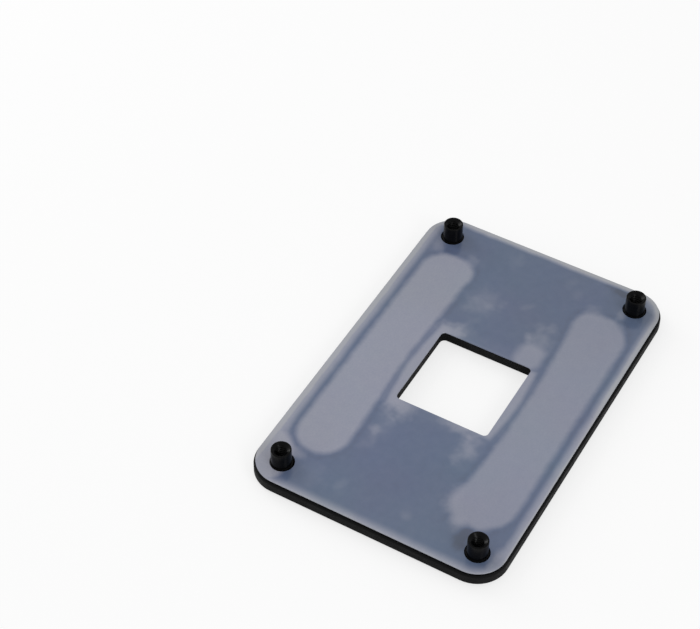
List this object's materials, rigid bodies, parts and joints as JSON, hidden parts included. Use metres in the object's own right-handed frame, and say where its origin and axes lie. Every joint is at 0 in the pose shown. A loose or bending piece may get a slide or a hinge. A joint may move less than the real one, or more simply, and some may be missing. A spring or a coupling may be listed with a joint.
{
  "type": "cpu socket bracket",
  "caption": "Flat steel backplate with pressed beads, a square window, an insulating film and threaded studs at its corners, for bolting a cooler through a board.",
  "frame": {"origin": "middle of the plate, level with the underside of the two beads that it stands on", "axes": "+X along the plate's long side, +Y across it, +Z out of the film side, along the studs"},
  "size_m": [0.104, 0.069, 0.0093],
  "materials": {
    "plate_steel": "black paint, satin, fine grain",
    "film": "milky translucent film over black, satin gloss",
    "stud_steel": "black plated, satin gloss"
  },
  "bodies": {
    "root": {"backing_plate": "plate_steel", "insulator_film": "film", "stud_far_left": "stud_steel", "stud_far_right": "stud_steel", "stud_near_left": "stud_steel", "stud_near_right": "stud_steel"}
  },
  "joints": []
}
